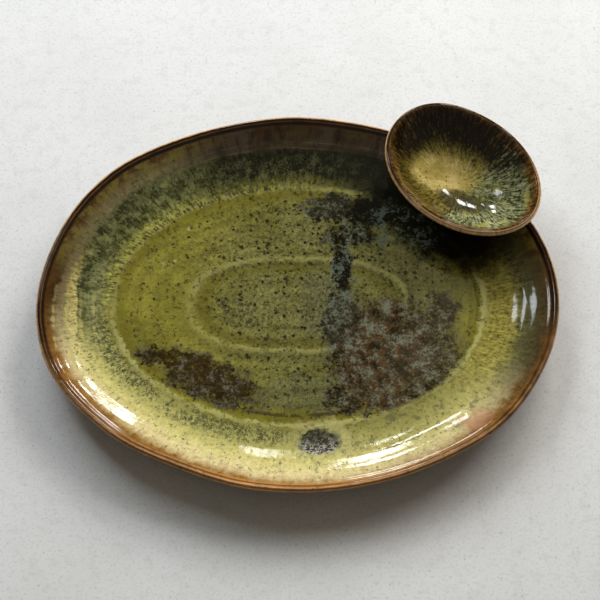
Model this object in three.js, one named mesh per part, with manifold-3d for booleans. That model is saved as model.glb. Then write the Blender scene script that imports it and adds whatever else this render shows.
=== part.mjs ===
// Oval stoneware serving platter with a small dip bowl set into its rim.
// Millimetres, +Z up, the table is z = 0, +X runs along the platter's long axis.
// Every ring of the platter and of the bowl is a round ring pulled apart along one axis,
// the way a round pot thrown on a wheel is eased into an oval.

import * as THREE from 'three';
import { mergeVertices } from 'three/addons/utils/BufferGeometryUtils.js';
import Module from 'manifold-3d';

// Platter
const platterLength = 330;
const platterWidth = 262;
const rimHeight = 25.5;
const floorHeight = 11.5;
const platterThickness = 6;
const lipThickness = 4.6;
const wallWidth = 46.5;
const wallCurve = 1.4;

// Throwing ridges on the platter's floor
const innerRidgeWidth = 69;
const ridgeHeight = 0.9;
const ridgeHalfWidth = 6;

// Foot ring, a coil luted under the floor
const footRingWidth = 9;
const footRingSetback = 19.5;
const footEdge = 1.5;

// Dip bowl
const bowlLength = 110.5;
const bowlWidth = 84;
const bowlLipHeight = 44;
const bowlDepth = 22;
const bowlThickness = 4.8;
const bowlLipThickness = 4.6;

// Where the bowl stands on the rim
const bowlInset = 16;
const bowlRimAngle = 44.7;
const bowlLongAxisAngle = -42.5;

// Clay seat under the bowl, in two parts: one in the well and one outside the rim
const seatWidth = 38;
const seatFlare = 4;
const chinDrop = 4.7;

// Slip-filled gap between luted pieces
const lutingGap = 0.3;

// Fineness of the facets
const platterSegments = 64;
const bowlSegments = 48;
const wallSteps = 7;
const lipSteps = 6;
const bowlSteps = 9;
const seatSteps = 5;

// Sizes that follow
const rimRadius = platterWidth / 2;
const platterStretch = (platterLength - platterWidth) / 2;
const wallFootRadius = rimRadius - wallWidth;
const innerRidgeRadius = innerRidgeWidth / 2;
const coreRadius = (innerRidgeRadius - ridgeHalfWidth) / 2;
const footHeight = floorHeight - platterThickness;
const footRadius = wallFootRadius - footRingSetback;
const bowlStretch = (bowlLength - bowlWidth) / 2;
const bowlCoreRadius = bowlWidth / 6;
const bowlFloorHeight = bowlLipHeight - bowlDepth;
const seatRadius = seatWidth / 2;
const seatTopHeight = bowlFloorHeight + bowlThickness / 2;
const chinHeight = bowlFloorHeight - bowlThickness - chinDrop;

const wasm = await Module();
wasm.setup();

function point(radius, height) {
  return new THREE.Vector2(radius, height);
}

function spread(from, to, steps) {
  return Array.from({ length: steps + 1 }, (_, i) => from + (to - from) * i / steps);
}

function mix(from, to, share) {
  return from + (to - from) * share;
}

// Share corners and leave out the flat triangles that a lathe makes on its axis
function closedGeometry(geometry) {
  geometry.deleteAttribute('normal');
  geometry.deleteAttribute('uv');
  const merged = mergeVertices(geometry);
  const corners = merged.index.array;
  const kept = [];
  for (let i = 0; i < corners.length; i += 3) {
    const triangle = corners.slice(i, i + 3);
    if (new Set(triangle).size === 3) kept.push(...triangle);
  }
  merged.setIndex(kept);
  return merged;
}

// Spin a profile about +Z and pull its rings apart along X; inside the core the rings keep one shape.
// A profile runs out along its underside and back in along its top.
function ovalLathe(profile, segments, stretch, core) {
  const geometry = new THREE.LatheGeometry(profile, segments);
  geometry.rotateX(Math.PI / 2);
  const position = geometry.attributes.position;
  for (let i = 0; i < position.count; i += 1) {
    const x = position.getX(i);
    const radius = Math.max(Math.hypot(x, position.getY(i)), core);
    position.setX(i, x * (1 + stretch / radius));
  }
  return closedGeometry(geometry);
}

function platterOval(profile) {
  return ovalLathe(profile, platterSegments, platterStretch, coreRadius);
}

function bowlOval(profile) {
  return ovalLathe(profile, bowlSegments, bowlStretch, bowlCoreRadius);
}

function solid(geometry) {
  return new wasm.Manifold(new wasm.Mesh({
    numProp: 3,
    vertProperties: geometry.attributes.position.array,
    triVerts: Uint32Array.from(geometry.index.array),
  }));
}

function geometryOf(body) {
  const mesh = body.getMesh();
  const geometry = new THREE.BufferGeometry();
  geometry.setAttribute('position', new THREE.BufferAttribute(mesh.vertProperties, 3));
  geometry.setIndex(new THREE.BufferAttribute(mesh.triVerts, 1));
  return geometry;
}

// A point off a wall's middle line: side 1 is the upper face and -1 the lower one
function faceOf(middle, side, gap) {
  const offset = side * (middle.half + gap);
  return point(
    middle.radius - offset * Math.sin(middle.slope),
    middle.height + offset * Math.cos(middle.slope),
  );
}

// Half-round end of a wall, from its lower face to its upper one
function roundLip(middle) {
  const angles = spread(middle.slope - Math.PI / 2, middle.slope + Math.PI / 2, lipSteps);
  return angles.slice(1, -1).map((angle) => point(
    middle.radius + middle.half * Math.cos(angle),
    middle.height + middle.half * Math.sin(angle),
  ));
}

// Middle line of the platter's wall, from its foot (0) to its lip (1)
function platterWall(share) {
  const run = rimRadius - lipThickness / 2 - wallFootRadius;
  const footMiddle = floorHeight - platterThickness / 2;
  const rise = rimHeight - lipThickness / 2 - footMiddle;
  return {
    radius: wallFootRadius + run * share,
    height: footMiddle + rise * share ** wallCurve,
    slope: Math.atan(rise * wallCurve * share ** (wallCurve - 1) / run),
    half: mix(platterThickness, lipThickness, share) / 2,
  };
}

// Middle line of the bowl's wall, an arc from the middle of its floor (0) to its lip (1)
function bowlWall(share) {
  const floorMiddle = bowlFloorHeight - bowlThickness / 2;
  const reach = (bowlWidth - bowlLipThickness) / 2;
  const rise = bowlLipHeight - bowlLipThickness / 2 - floorMiddle;
  const arcRadius = (reach ** 2 + rise ** 2) / (2 * rise);
  const slope = 2 * Math.atan(rise / reach) * share;
  return {
    radius: arcRadius * Math.sin(slope),
    height: floorMiddle + arcRadius * (1 - Math.cos(slope)),
    slope,
    half: mix(bowlThickness, bowlLipThickness, share) / 2,
  };
}

// A round swelling of the floor along one ring
function ridge(radius, crest) {
  const reach = Math.min(Math.abs(radius - crest) / ridgeHalfWidth, 1);
  return ridgeHeight * Math.cos(reach * Math.PI / 2) ** 2;
}

// The platter's upper face, from the middle out to the lip
function platterTop(gap) {
  const innerRidge = spread(innerRidgeRadius - ridgeHalfWidth, innerRidgeRadius + ridgeHalfWidth, 4);
  const outerRidge = spread(wallFootRadius - ridgeHalfWidth, wallFootRadius, 2);
  const floor = [0, coreRadius, ...innerRidge, ...outerRidge].map((radius) => {
    const swelling = ridge(radius, innerRidgeRadius) + ridge(radius, wallFootRadius);
    return point(radius, floorHeight + swelling + gap);
  });
  const wall = spread(0, 1, wallSteps).slice(1).map((share) => {
    const middle = platterWall(share);
    const face = faceOf(middle, 1, gap);
    return point(face.x, face.y + ridge(middle.radius, wallFootRadius));
  });
  return [...floor, ...wall];
}

// The platter's lower face, from the middle out to the lip
function platterUnderside(gap) {
  const wall = spread(0, 1, wallSteps).map((share) => faceOf(platterWall(share), -1, gap));
  return [point(0, footHeight - gap), ...wall];
}

function bowlOutside(gap) {
  return spread(0, 1, bowlSteps).map((share) => faceOf(bowlWall(share), -1, gap));
}

function bowlInside() {
  return spread(0, 1, bowlSteps).map((share) => faceOf(bowlWall(share), 1, 0));
}

// All the space over a face, as far out as the face goes
function spaceOver(face) {
  const edge = face[face.length - 1];
  return [...face, point(edge.x, bowlLipHeight), point(0, bowlLipHeight)];
}

const bowlPlace = new THREE.Vector3(
  (rimRadius - bowlInset + platterStretch) * Math.cos(THREE.MathUtils.degToRad(bowlRimAngle)),
  (rimRadius - bowlInset) * Math.sin(THREE.MathUtils.degToRad(bowlRimAngle)),
  0,
);
const bowlTurn = new THREE.Euler(0, 0, THREE.MathUtils.degToRad(bowlLongAxisAngle));
const bowlMatrix = new THREE.Matrix4().makeRotationFromEuler(bowlTurn).setPosition(bowlPlace);

// The room that the bowl takes up, with the luting gap round it
const bowlRoom = solid(bowlOval(spaceOver(bowlOutside(lutingGap))).applyMatrix4(bowlMatrix));

function platterBody() {
  const lip = roundLip(platterWall(1));
  const profile = [...platterUnderside(0), ...lip, ...platterTop(0).reverse()];
  return geometryOf(solid(platterOval(profile)).subtract(bowlRoom));
}

function footRing() {
  const [inner, outer] = [footRadius - footRingWidth / 2, footRadius + footRingWidth / 2];
  return platterOval([
    point(inner, footHeight),
    point(inner, footEdge),
    point(inner + footEdge, 0),
    point(outer - footEdge, 0),
    point(outer, footEdge),
    point(outer, footHeight),
    point(inner, footHeight),
  ]);
}

function dipBowl() {
  const lip = roundLip(bowlWall(1));
  return bowlOval([...bowlOutside(0), ...lip, ...bowlInside().reverse()]);
}

// An oval pad under the bowl, with the bowl's room cut out of it
function seatPad(side) {
  const profile = [...side, point(0, seatTopHeight)];
  return solid(bowlOval(profile).applyMatrix4(bowlMatrix)).subtract(bowlRoom);
}

// In the well: a pad that flares out to meet the platter's wall
function innerSeat() {
  const flare = spread(0, 1, seatSteps).map((share) => point(
    seatRadius + seatFlare * (1 - share) ** 2,
    mix(floorHeight, seatTopHeight, share),
  ));
  const side = [point(0, floorHeight), ...flare];
  const well = solid(platterOval(spaceOver(platterTop(lutingGap))));
  return geometryOf(seatPad(side).intersect(well));
}

// Outside the rim: a round chin that rises from under the wall to the bowl
function outerSeat() {
  const turns = spread(0, Math.PI / 2, seatSteps).slice(1);
  const chin = turns.map((turn) => point(
    seatRadius * Math.sin(turn),
    mix(seatTopHeight, chinHeight, Math.cos(turn)),
  ));
  const side = [point(0, chinHeight), ...chin];
  const wall = platterWall(1);
  const rim = roundLip({ ...wall, half: wall.half + lutingGap }).slice(0, lipSteps / 2);
  const platterRoom = solid(platterOval(spaceOver([...platterUnderside(lutingGap), ...rim])));
  return geometryOf(seatPad(side).subtract(platterRoom));
}

const glaze = new THREE.MeshStandardMaterial({ color: 0x7d7836, roughness: 0.18, metalness: 0 });
const darkGlaze = new THREE.MeshStandardMaterial({ color: 0x4a3a22, roughness: 0.18, metalness: 0 });
const bareClay = new THREE.MeshStandardMaterial({ color: 0x8d6b4d, roughness: 0.9, metalness: 0 });

function piece(name, geometry, material) {
  const mesh = new THREE.Mesh(geometry, material);
  mesh.name = name;
  return mesh;
}

const bowl = piece('dip_bowl', dipBowl(), darkGlaze);
bowl.position.copy(bowlPlace);
bowl.rotation.copy(bowlTurn);

const platter = new THREE.Group();
platter.add(
  piece('platter_body', platterBody(), glaze),
  piece('platter_foot_ring', footRing(), bareClay),
  bowl,
  piece('bowl_seat_inner', innerSeat(), darkGlaze),
  piece('bowl_seat_outer', outerSeat(), darkGlaze),
);

export default platter;
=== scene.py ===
"""Looks of an oval stoneware platter with a dip bowl set into its rim."""

import math

import bpy
import numpy as np
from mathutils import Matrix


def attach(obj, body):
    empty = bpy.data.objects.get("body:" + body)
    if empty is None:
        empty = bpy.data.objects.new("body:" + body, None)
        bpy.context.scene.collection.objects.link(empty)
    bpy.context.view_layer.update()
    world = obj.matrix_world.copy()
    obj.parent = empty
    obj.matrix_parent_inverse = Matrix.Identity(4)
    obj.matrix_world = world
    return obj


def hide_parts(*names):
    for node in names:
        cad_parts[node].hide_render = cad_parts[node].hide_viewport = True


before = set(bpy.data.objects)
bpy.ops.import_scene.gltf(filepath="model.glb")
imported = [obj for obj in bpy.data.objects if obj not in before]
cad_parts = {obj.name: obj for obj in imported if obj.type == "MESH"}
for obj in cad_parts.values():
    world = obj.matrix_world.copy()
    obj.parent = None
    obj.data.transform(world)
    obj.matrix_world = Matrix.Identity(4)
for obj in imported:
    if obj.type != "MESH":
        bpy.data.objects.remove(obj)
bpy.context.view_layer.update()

MM = 0.001

# Platter, in millimetres
PLATTER_LENGTH = 330.0
PLATTER_WIDTH = 262.0
RIM_HEIGHT = 25.5
FLOOR_HEIGHT = 11.5
PLATTER_THICKNESS = 6.0
LIP_THICKNESS = 4.6
WALL_WIDTH = 46.5
WALL_CURVE = 1.8
CORE_RADIUS = 14.0

# Throwing ridges on the platter's floor; the inner one is squarer than an oval
INNER_RIDGE_LENGTH = 138.0
INNER_RIDGE_WIDTH = 66.0
INNER_RIDGE_POWER = 2.6
INNER_RIDGE_SHIFT = -1.5
INNER_RIDGE_HEIGHT = 0.5
OUTER_RIDGE_HEIGHT = 0.3
RIDGE_HALF_WIDTH = 5.0
GROOVE_DEPTH = 0.15
GROOVE_SETBACK = 5.5

# Finger rings on the platter's wall and a groove behind its lip
RING_SPACING = 8.2
RING_HEIGHT = 0.09
LIP_GROOVE_INSET = 5.6
LIP_GROOVE_DEPTH = 0.35
LIP_GROOVE_HALF_WIDTH = 1.6

# Foot ring
FOOT_RING_WIDTH = 9.0
FOOT_RING_SETBACK = 19.5
FOOT_EDGE = 1.5
FOOT_OVERLAP = 0.5

# Dip bowl
BOWL_LENGTH = 110.5
BOWL_WIDTH = 84.0
BOWL_LIP_HEIGHT = 44.0
BOWL_DEPTH = 22.0
BOWL_THICKNESS = 4.8
BOWL_LIP_THICKNESS = 4.6
BOWL_INSET = 16.0
BOWL_RIM_ANGLE = math.radians(44.7)
BOWL_LONG_AXIS_ANGLE = math.radians(-42.5)

# Clay seat under the bowl
SEAT_WIDTH = 38.0
SEAT_FLARE = 4.0
CHIN_DROP = 4.7

# Places where the rims were pushed by hand: a point on the rim and how far it went
PLATTER_PUSHES = (
    ((-72.0, -110.0), (0.8, 1.8, 0.0)),
    ((-150.0, -50.0), (-1.6, -1.0, 0.0)),
    ((-118.0, 92.0), (-1.0, 1.2, 0.0)),
    ((-5.0, 131.0), (0.0, 1.2, 0.0)),
    ((120.0, -88.0), (1.2, -1.0, 0.0)),
    ((-158.0, 32.0), (1.6, 0.0, 0.0)),
)
BOWL_PUSHES = (
    ((90.0, 135.0), (-0.6, 1.6, 0.5)),
    ((145.0, 45.0), (0.8, -0.6, 0.0)),
)

# Camera, found from the ovals of the lip and ridges in the 600 pixel photograph
IMAGE_SIZE = 600
CAMERA_ELEVATION = math.radians(64.0)
CAMERA_DISTANCE = 1000.0
CAMERA_TARGET = (1.5, 7.7, 0.0)
FOCAL_PIXELS = 1546.0
SENSOR_WIDTH = 36.0

# Table and lamps
TABLE_SIZE = 6000.0
LAMP_DISTANCE = 1700.0

# Corners of the rings that the pieces are drawn from, and the middle ring that is closed to a point
PLATTER_CORNERS = 128
BOWL_CORNERS = 96
SEAT_CORNERS = 64
MIDDLE_RING = 1.2

# How far along the rim a push by hand is felt, and the angle past which an edge stays sharp
PLATTER_PUSH_REACH = 50.0
BOWL_PUSH_REACH = 40.0
SHARP_ANGLE = math.radians(40)

# Lengths that the glazes' colour ramps span: crystals run in steps of their own, not in millimetres
WALL_SPAN = 60.0
LIP_SPAN = 10.0
CRYSTAL_SPAN = 5.0
BOWL_SPAN = 40.0
BOWL_LIP_SPAN = 8.0

# Mean radius at which runs of glaze are laid out round the platter and round the bowl
PLATTER_TURN = 110.0
BOWL_TURN = 40.0

# Sizes that follow
RIM_RADIUS = PLATTER_WIDTH / 2
PLATTER_STRETCH = (PLATTER_LENGTH - PLATTER_WIDTH) / 2
WALL_FOOT_RADIUS = RIM_RADIUS - WALL_WIDTH
OUTER_RIDGE_INSET = WALL_WIDTH
FOOT_HEIGHT = FLOOR_HEIGHT - PLATTER_THICKNESS
FOOT_RADIUS = WALL_FOOT_RADIUS - FOOT_RING_SETBACK
BOWL_RADIUS = BOWL_WIDTH / 2
BOWL_STRETCH = (BOWL_LENGTH - BOWL_WIDTH) / 2
BOWL_CORE_RADIUS = BOWL_RADIUS * 0.8
BOWL_FLOOR_HEIGHT = BOWL_LIP_HEIGHT - BOWL_DEPTH
BOWL_PLACE = (
    (RIM_RADIUS - BOWL_INSET + PLATTER_STRETCH) * math.cos(BOWL_RIM_ANGLE),
    (RIM_RADIUS - BOWL_INSET) * math.sin(BOWL_RIM_ANGLE),
)
SEAT_RADIUS = SEAT_WIDTH / 2
CHIN_HEIGHT = BOWL_FLOOR_HEIGHT - BOWL_THICKNESS - CHIN_DROP


# Profiles: points of (radius, height) in millimetres

def spread(low, high, steps):
    return [mix(low, high, i / steps) for i in range(steps + 1)]


def mix(low, high, share):
    return low + (high - low) * share


def platter_wall(share):
    """Middle line of the platter's wall, from its foot (0) to its lip (1).

    Gives the radius, the height, the slope and half the thickness there.
    """
    run = RIM_RADIUS - LIP_THICKNESS / 2 - WALL_FOOT_RADIUS
    foot_middle = FLOOR_HEIGHT - PLATTER_THICKNESS / 2
    rise = RIM_HEIGHT - LIP_THICKNESS / 2 - foot_middle
    slope = math.atan(rise * WALL_CURVE * share ** (WALL_CURVE - 1) / run)
    half = mix(PLATTER_THICKNESS, LIP_THICKNESS, share) / 2
    return WALL_FOOT_RADIUS + run * share, foot_middle + rise * share ** WALL_CURVE, slope, half


def bowl_wall(share):
    """Middle line of the bowl's wall, an arc from the middle of its floor (0) to its lip (1)."""
    floor_middle = BOWL_FLOOR_HEIGHT - BOWL_THICKNESS / 2
    reach = (BOWL_WIDTH - BOWL_LIP_THICKNESS) / 2
    rise = BOWL_LIP_HEIGHT - BOWL_LIP_THICKNESS / 2 - floor_middle
    arc = (reach ** 2 + rise ** 2) / (2 * rise)
    slope = 2 * math.atan(rise / reach) * share
    half = mix(BOWL_THICKNESS, BOWL_LIP_THICKNESS, share) / 2
    return arc * math.sin(slope), floor_middle + arc * (1 - math.cos(slope)), slope, half


def face_of(middle, side):
    """A point on the upper (1) or lower (-1) face of a wall."""
    radius, height, slope, half = middle
    return radius - side * half * math.sin(slope), height + side * half * math.cos(slope)


def lip_arc(middle, first, last, steps):
    """Part of a wall's half-round end: turn -90 is its lower face, 0 its tip and 90 its upper face."""
    radius, height, slope, half = middle
    turns = [slope + math.radians(turn) for turn in spread(first, last, steps)]
    return [(radius + half * math.cos(turn), height + half * math.sin(turn)) for turn in turns]


def platter_upper():
    """From the lip's tip in over the wall to the middle of the floor."""
    wall = [face_of(platter_wall(share), 1) for share in spread(0.97, 0.0, 24)]
    rows = spread(WALL_FOOT_RADIUS - 1.6, WALL_FOOT_RADIUS - 11.2, 6) + [68.0, 60.0, 52.0, 46.0]
    rows += spread(42.0, 27.0, 12) + [22.0, CORE_RADIUS, 9.0, 4.5, MIDDLE_RING]
    return lip_arc(platter_wall(1), 0, 90, 5) + wall + [(radius, FLOOR_HEIGHT) for radius in rows]


def platter_lower():
    """From the lip's tip in under the wall to the middle of the flat underside."""
    wall = [face_of(platter_wall(share), -1) for share in spread(0.95, 0.0, 12)]
    rows = (78.0, 60.0, 40.0, CORE_RADIUS, CORE_RADIUS * 0.5, MIDDLE_RING)
    return lip_arc(platter_wall(1), 0, -90, 5) + wall + [(radius, FOOT_HEIGHT) for radius in rows]


def bowl_inner():
    inside = [face_of(bowl_wall(share), 1) for share in spread(0.96, 0.03, 22)]
    return lip_arc(bowl_wall(1), 0, 90, 5) + inside


def bowl_outer():
    outside = [face_of(bowl_wall(share), -1) for share in spread(0.96, 0.03, 20)]
    return lip_arc(bowl_wall(1), 0, -90, 5) + outside


# Modelling

def deselect():
    bpy.ops.object.select_all(action="DESELECT")


def half_sizes(radius, stretch, core):
    """Half length and half width of the oval that a round ring is pulled into.

    The pull eases off inside a core.
    """
    share = min(radius / core, 1.0)
    return radius + stretch * share * (2 - share), radius


def select_ring(piece, corners):
    """Select the first ring that the piece was started from."""
    bpy.ops.mesh.select_all(action="DESELECT")
    bpy.ops.object.mode_set(mode="OBJECT")
    chosen = np.zeros(len(piece.data.vertices), dtype=bool)
    chosen[:corners] = True
    piece.data.vertices.foreach_set("select", chosen)
    ring_edges = [max(edge.vertices) < corners for edge in piece.data.edges]
    piece.data.edges.foreach_set("select", ring_edges)
    bpy.ops.object.mode_set(mode="EDIT")


def draw_rings(profile, stretch, core):
    """Extrude the selected ring along a profile whose first point is that ring."""
    for last, ring in zip(profile, profile[1:]):
        last_size = half_sizes(last[0], stretch, core)
        size = half_sizes(ring[0], stretch, core)
        bpy.ops.mesh.extrude_region()
        bpy.ops.transform.resize(value=(size[0] / last_size[0], size[1] / last_size[1], 1))
        bpy.ops.transform.translate(value=(0, 0, (ring[1] - last[1]) * MM))


def start_ring(name, point, stretch, core, corners):
    deselect()
    bpy.ops.mesh.primitive_circle_add(vertices=corners, radius=MM)
    piece = bpy.context.object
    piece.name = name
    bpy.ops.object.mode_set(mode="EDIT")
    bpy.ops.mesh.select_all(action="SELECT")
    length, width = half_sizes(point[0], stretch, core)
    bpy.ops.transform.resize(value=(length, width, 1))
    bpy.ops.transform.translate(value=(0, 0, point[1] * MM))
    return piece


def finish_mesh(piece, levels):
    bpy.ops.mesh.select_all(action="SELECT")
    bpy.ops.mesh.remove_doubles(threshold=0.01 * MM)
    bpy.ops.mesh.normals_make_consistent(inside=False)
    bpy.ops.object.mode_set(mode="OBJECT")
    if levels:
        smooth = piece.modifiers.new("smooth", "SUBSURF")
        smooth.levels = levels
        smooth.render_levels = levels
        bpy.ops.object.modifier_apply(modifier=smooth.name)
    bpy.ops.object.shade_smooth()


def close_ring():
    """Fill the small ring that is left in the middle of a face."""
    bpy.ops.mesh.extrude_region()
    bpy.ops.mesh.merge(type="CENTER")


def ring_radius(x, y, stretch, core):
    """Radius of the round ring that points of an oval came from, by halving, and the pull there."""
    low = np.zeros_like(x)
    high = np.full_like(x, 400.0)
    for _ in range(40):
        radius = np.maximum((low + high) / 2, 1e-6)
        share = np.minimum(radius / core, 1.0)
        pull = 1 + stretch * share * (2 - share) / radius
        outside = np.hypot(x / pull, y) > radius
        low = np.where(outside, radius, low)
        high = np.where(outside, high, radius)
    return radius, pull


def points_of(piece):
    """The piece's points in millimetres, as three rows."""
    points = np.empty(len(piece.data.vertices) * 3)
    piece.data.vertices.foreach_get("co", points)
    return points.reshape(-1, 3).T / MM


def store(piece, name, values):
    piece.data.attributes.new(name, "FLOAT", "POINT").data.foreach_set("value", values)


def mark_flow(piece, stretch, core, rim, wall_height):
    """Store how far each point lies in from the lip, negative under the wall, and its way round."""
    x, y, z = points_of(piece)
    radius, pull = ring_radius(x, y, stretch, core)
    inset = np.where(z >= wall_height(radius), rim - radius, radius - rim)
    across = x / pull / radius
    along = y / radius
    store(piece, "inset", inset)
    store(piece, "across", across)
    store(piece, "along", along)
    return inset, np.arctan2(along, across)


def press(piece, name, heights):
    """Push the piece's points out along their normals by heights in millimetres."""
    deselect()
    piece.select_set(True)
    bpy.context.view_layer.objects.active = piece
    for sign, part in ((1, np.maximum(heights, 0)), (-1, np.maximum(-heights, 0))):
        most = part.max()
        if most > 0:
            group = piece.vertex_groups.new(name=name)
            for index in np.nonzero(part)[0]:
                group.add([int(index)], part[index] / most, "REPLACE")
            push = piece.modifiers.new(name, "DISPLACE")
            push.vertex_group = group.name
            push.mid_level = 0.0
            push.strength = sign * most * MM
            bpy.ops.object.modifier_apply(modifier=push.name)
            piece.vertex_groups.clear()


def swelling(gap, half_width):
    return np.cos(np.minimum(np.abs(gap) / half_width, 1.0) * np.pi / 2) ** 2


def between(value, low, high):
    share = np.clip((value - low) / (high - low), 0, 1)
    return share * share * (3 - 2 * share)


def throw_rings(piece, inset, turn):
    """Raise the ridges and the finger rings, sink the lip's groove, and store them for the glaze."""
    x, y, _ = points_of(piece)
    above = inset > 0
    power = INNER_RIDGE_POWER
    u = np.abs(x) / (INNER_RIDGE_LENGTH / 2)
    v = np.abs(y - INNER_RIDGE_SHIFT) / (INNER_RIDGE_WIDTH / 2)
    beyond = (u ** power + v ** power) ** (1 / power) - 1
    inner_gap = beyond * INNER_RIDGE_WIDTH / 2 * (1 + 0.6 * np.minimum(u, 1) ** 2)
    outer_gap = OUTER_RIDGE_INSET - inset
    waver = 0.9 * np.sin(2 * turn + 0.6) + 0.7 * np.sin(5 * turn + 2.1) + 0.4 * np.sin(9 * turn)
    rings = np.sin(2 * np.pi * inset / RING_SPACING + waver)
    strength = 0.65 + 0.35 * np.sin(turn * 2 + 2.6) * np.sin(turn * 3 + 0.4)
    on_wall = between(inset, 6, 12) * between(inset, 45, 38)
    heights = RING_HEIGHT * rings * strength * on_wall
    for gap, height in ((inner_gap, INNER_RIDGE_HEIGHT), (outer_gap, OUTER_RIDGE_HEIGHT)):
        heights += height * swelling(gap, RIDGE_HALF_WIDTH)
        heights -= GROOVE_DEPTH * swelling(gap + GROOVE_SETBACK, RIDGE_HALF_WIDTH)
    heights -= LIP_GROOVE_DEPTH * swelling(inset - LIP_GROOVE_INSET, LIP_GROOVE_HALF_WIDTH)
    press(piece, "throwing", np.where(above, heights, 0.0))
    store(piece, "inner_gap", inner_gap)
    store(piece, "rings", rings * on_wall)


def push_rim(piece, pushes, reach):
    """Push places of a rim by hand: each is a point on the rim and a shift, in millimetres."""
    deselect()
    piece.select_set(True)
    bpy.context.view_layer.objects.active = piece
    for place, shift in pushes:
        x, y, _ = points_of(piece)
        gap = np.hypot(x - place[0], y - place[1])
        nearest = np.zeros(len(gap), dtype=bool)
        nearest[np.argmin(gap)] = True
        bpy.ops.object.mode_set(mode="EDIT")
        bpy.ops.mesh.select_all(action="DESELECT")
        bpy.ops.object.mode_set(mode="OBJECT")
        piece.data.vertices.foreach_set("select", nearest)
        bpy.ops.object.mode_set(mode="EDIT")
        bpy.ops.transform.translate(
            value=tuple(part * MM for part in shift),
            use_proportional_edit=True,
            proportional_edit_falloff="SMOOTH",
            proportional_size=reach * MM,
        )
        bpy.ops.object.mode_set(mode="OBJECT")


def platter_middle_height(radius):
    run = RIM_RADIUS - LIP_THICKNESS / 2 - WALL_FOOT_RADIUS
    share = np.clip((radius - WALL_FOOT_RADIUS) / run, 0, 1)
    foot_middle = FLOOR_HEIGHT - PLATTER_THICKNESS / 2
    return foot_middle + (RIM_HEIGHT - LIP_THICKNESS / 2 - foot_middle) * share ** WALL_CURVE


def bowl_middle_height(radius):
    floor_middle = BOWL_FLOOR_HEIGHT - BOWL_THICKNESS / 2
    reach = (BOWL_WIDTH - BOWL_LIP_THICKNESS) / 2
    rise = BOWL_LIP_HEIGHT - BOWL_LIP_THICKNESS / 2 - floor_middle
    arc = (reach ** 2 + rise ** 2) / (2 * rise)
    return floor_middle + arc - np.sqrt(arc ** 2 - np.minimum(radius, reach) ** 2)


def place_on_rim(piece):
    """Turn and move a piece made at the origin to the bowl's place, and keep the place in its mesh."""
    deselect()
    piece.select_set(True)
    bpy.context.view_layer.objects.active = piece
    piece.rotation_euler = (0, 0, BOWL_LONG_AXIS_ANGLE)
    piece.location = (BOWL_PLACE[0] * MM, BOWL_PLACE[1] * MM, 0)
    bpy.ops.object.transform_apply(location=True, rotation=True, scale=True)


def make_shell(name, upper, lower, stretch, core, corners):
    """A dish drawn from one ring at its lip, first over its upper face, then over its lower one."""
    piece = start_ring(name, upper[0], stretch, core, corners)
    draw_rings(upper, stretch, core)
    close_ring()
    select_ring(piece, corners)
    draw_rings(lower, stretch, core)
    close_ring()
    finish_mesh(piece, 1)
    return piece


def make_platter():
    faces = (platter_upper(), platter_lower())
    piece = make_shell("platter", *faces, PLATTER_STRETCH, CORE_RADIUS, PLATTER_CORNERS)
    inset, turn = mark_flow(piece, PLATTER_STRETCH, CORE_RADIUS, RIM_RADIUS, platter_middle_height)
    throw_rings(piece, inset, turn)
    push_rim(piece, PLATTER_PUSHES, PLATTER_PUSH_REACH)
    return piece


def make_bowl():
    faces = (bowl_inner(), bowl_outer())
    piece = make_shell("bowl", *faces, BOWL_STRETCH, BOWL_CORE_RADIUS, BOWL_CORNERS)
    mark_flow(piece, BOWL_STRETCH, BOWL_CORE_RADIUS, BOWL_RADIUS, bowl_middle_height)
    place_on_rim(piece)
    push_rim(piece, BOWL_PUSHES, BOWL_PUSH_REACH)
    return piece


def cut_notch(platter, bowl):
    """Take the bowl's room out of the platter's rim."""
    deselect()
    bowl.select_set(True)
    bpy.context.view_layer.objects.active = bowl
    bpy.ops.object.duplicate()
    cutter = bpy.context.object
    bpy.ops.object.mode_set(mode="EDIT")
    bpy.ops.mesh.select_all(action="SELECT")
    bpy.ops.mesh.convex_hull()
    bpy.ops.object.mode_set(mode="OBJECT")
    deselect()
    platter.select_set(True)
    bpy.context.view_layer.objects.active = platter
    notch = platter.modifiers.new("notch", "BOOLEAN")
    notch.operation = "DIFFERENCE"
    notch.object = cutter
    bpy.ops.object.modifier_apply(modifier=notch.name)
    bpy.data.objects.remove(cutter)
    bpy.ops.object.shade_smooth_by_angle(angle=SHARP_ANGLE)


def make_foot_ring():
    """A coil with worn lower edges, its top sunk a little into the platter's underside."""
    inner = FOOT_RADIUS - FOOT_RING_WIDTH / 2
    outer = FOOT_RADIUS + FOOT_RING_WIDTH / 2
    top = FOOT_HEIGHT + FOOT_OVERLAP
    section = [
        (outer, top),
        (outer, FOOT_HEIGHT - 0.8),
        (outer - 0.1, FOOT_EDGE + 0.3),
        (outer - FOOT_EDGE * 0.4, FOOT_EDGE * 0.4),
        (outer - FOOT_EDGE, 0.0),
        (FOOT_RADIUS, 0.0),
        (inner + FOOT_EDGE, 0.0),
        (inner + FOOT_EDGE * 0.4, FOOT_EDGE * 0.4),
        (inner + 0.1, FOOT_EDGE + 0.3),
        (inner, FOOT_HEIGHT - 0.8),
        (inner, top),
        (outer, top),
    ]
    piece = start_ring("foot_ring", section[0], PLATTER_STRETCH, CORE_RADIUS, PLATTER_CORNERS)
    draw_rings(section, PLATTER_STRETCH, CORE_RADIUS)
    finish_mesh(piece, 0)
    bpy.ops.object.shade_smooth_by_angle(angle=SHARP_ANGLE)
    return piece


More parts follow.
